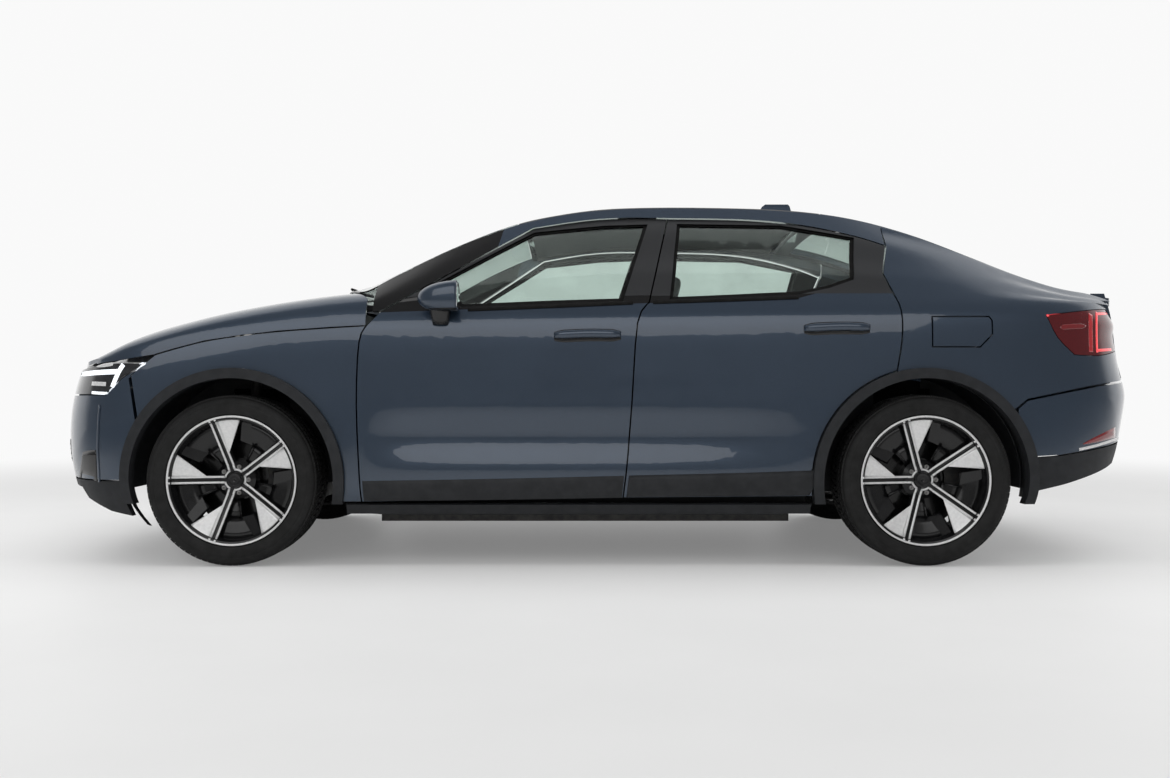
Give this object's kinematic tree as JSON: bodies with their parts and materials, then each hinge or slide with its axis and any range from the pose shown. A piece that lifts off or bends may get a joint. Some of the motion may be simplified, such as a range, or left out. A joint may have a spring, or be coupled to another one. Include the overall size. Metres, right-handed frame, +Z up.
{
  "type": "fastback sedan",
  "caption": "Electric fastback sedan with hinged doors, clamshell hood, lifting tailgate, charge flap, steered front wheels and road wheels that turn.",
  "frame": {"origin": "on the ground under the middle of the car's box", "axes": "+X towards the nose, +Y towards the car's left, +Z up"},
  "size_m": [4.6075, 1.9828, 1.5709],
  "materials": {
    "paint": "metallic clear-coated",
    "dark_plastic": "fine grain",
    "gloss_black": "high gloss",
    "window_glass": "tinted",
    "roof_glass": "dark tinted",
    "clear_lens": "clear",
    "red_lens": "red",
    "tyre": "matte",
    "alloy": "gloss black lacquer",
    "steel": "machined",
    "cast": "coated",
    "battery": "plain",
    "fabric": "woven"
  },
  "bodies": {
    "body": {"fenders": "paint", "quarter_panels": "paint", "roof_rails": "gloss_black", "sills": "dark_plastic", "door_pillars": "gloss_black", "arch_claddings": "dark_plastic", "wheel_liners": "dark_plastic", "roof_panel": "roof_glass", "windscreen": "window_glass", "cowl": "dark_plastic", "front_bumper": "paint", "grille_panel": "paint", "headlamps": "clear_lens", "front_valance": "dark_plastic", "rear_bumper": "paint", "rear_valance": "dark_plastic", "tail_lamps": "red_lens", "antenna": "paint", "front_axle": "cast", "rear_axle": "cast", "drive_unit": "battery", "battery_pack": "battery", "floor_pan": "dark_plastic", "firewall": "dark_plastic", "front_bay_cover": "dark_plastic", "cargo_floor": "fabric", "dashboard": "dark_plastic", "front_seats": "fabric", "rear_seat": "fabric"},
    "front_door_left": {"door_front_left": "paint", "glass_front_left": "window_glass", "mirror_left": "paint"},
    "rear_door_left": {"door_rear_left": "paint", "glass_rear_left": "window_glass"},
    "steering_knuckle_left": {"knuckle_front_left": "cast"},
    "road_wheel_front_left": {"wheel_front_left": "alloy", "tyre_front_left": "tyre"},
    "road_wheel_rear_left": {"wheel_rear_left": "alloy", "tyre_rear_left": "tyre"},
    "front_door_right": {"door_front_right": "paint", "glass_front_right": "window_glass", "mirror_right": "paint"},
    "rear_door_right": {"door_rear_right": "paint", "glass_rear_right": "window_glass"},
    "steering_knuckle_right": {"knuckle_front_right": "cast"},
    "road_wheel_front_right": {"wheel_front_right": "alloy", "tyre_front_right": "tyre"},
    "road_wheel_rear_right": {"wheel_rear_right": "alloy", "tyre_rear_right": "tyre"},
    "hood_lid": {"hood": "paint"},
    "tailgate_lid": {"tailgate": "paint", "rear_window": "window_glass", "light_bar": "red_lens"},
    "flap": {"charge_flap": "paint"},
    "hand_wheel": {"steering_wheel": "dark_plastic"}
  },
  "joints": [
    {"name": "front_door_left_swing", "type": "hinge", "parent": "body", "child": "front_door_left", "pos_m": [0.8983, 0.889, 0.62], "axis": [0, 0, -1], "range_deg": [0, 68]},
    {"name": "rear_door_left_swing", "type": "hinge", "parent": "body", "child": "rear_door_left", "pos_m": [-0.17252, 0.889, 0.62], "axis": [0, 0, -1], "range_deg": [0, 66]},
    {"name": "front_door_right_swing", "type": "hinge", "parent": "body", "child": "front_door_right", "pos_m": [0.8983, -0.889, 0.62], "axis": [0, 0, 1], "range_deg": [0, 68]},
    {"name": "rear_door_right_swing", "type": "hinge", "parent": "body", "child": "rear_door_right", "pos_m": [-0.17252, -0.889, 0.62], "axis": [0, 0, 1], "range_deg": [0, 66]},
    {"name": "steer_left", "type": "hinge", "parent": "body", "child": "steering_knuckle_left", "pos_m": [1.448, 0.655, 0.338], "axis": [0, 0, 1], "range_deg": [-35, 35]},
    {"name": "steer_right", "type": "hinge", "parent": "body", "child": "steering_knuckle_right", "pos_m": [1.448, -0.655, 0.338], "axis": [0, 0, 1], "range_deg": [-35, 35]},
    {"name": "steering_turn", "type": "hinge", "parent": "body", "child": "hand_wheel", "pos_m": [0.56, 0.372, 0.905], "axis": [-0.9, 0, 0.436], "range_deg": [-455, 455]},
    {"name": "spin_front_left", "type": "hinge", "parent": "steering_knuckle_left", "child": "road_wheel_front_left", "pos_m": [1.448, 0.8, 0.338], "axis": [0, 1, 0], "continuous": true},
    {"name": "spin_rear_left", "type": "hinge", "parent": "body", "child": "road_wheel_rear_left", "pos_m": [-1.287, 0.8, 0.338], "axis": [0, 1, 0], "continuous": true},
    {"name": "spin_front_right", "type": "hinge", "parent": "steering_knuckle_right", "child": "road_wheel_front_right", "pos_m": [1.448, -0.8, 0.338], "axis": [0, 1, 0], "continuous": true},
    {"name": "spin_rear_right", "type": "hinge", "parent": "body", "child": "road_wheel_rear_right", "pos_m": [-1.287, -0.8, 0.338], "axis": [0, 1, 0], "continuous": true},
    {"name": "hood_lift", "type": "hinge", "parent": "body", "child": "hood_lid", "pos_m": [0.82, 0, 0.985], "axis": [0, -1, 0], "range_deg": [0, 45]},
    {"name": "tailgate_lift", "type": "hinge", "parent": "body", "child": "tailgate_lid", "pos_m": [-0.938, 0, 1.461], "axis": [0, 1, 0], "range_deg": [0, 72]},
    {"name": "flap_swing", "type": "hinge", "parent": "body", "child": "flap", "pos_m": [-1.32, 0.906, 0.925], "axis": [0, 0, -1], "range_deg": [0, 85]}
  ],
  "couplings": [
    {"joint": "steer_right", "follows": "steer_left", "ratio": 1},
    {"joint": "steering_turn", "follows": "steer_left", "ratio": 13}
  ]
}
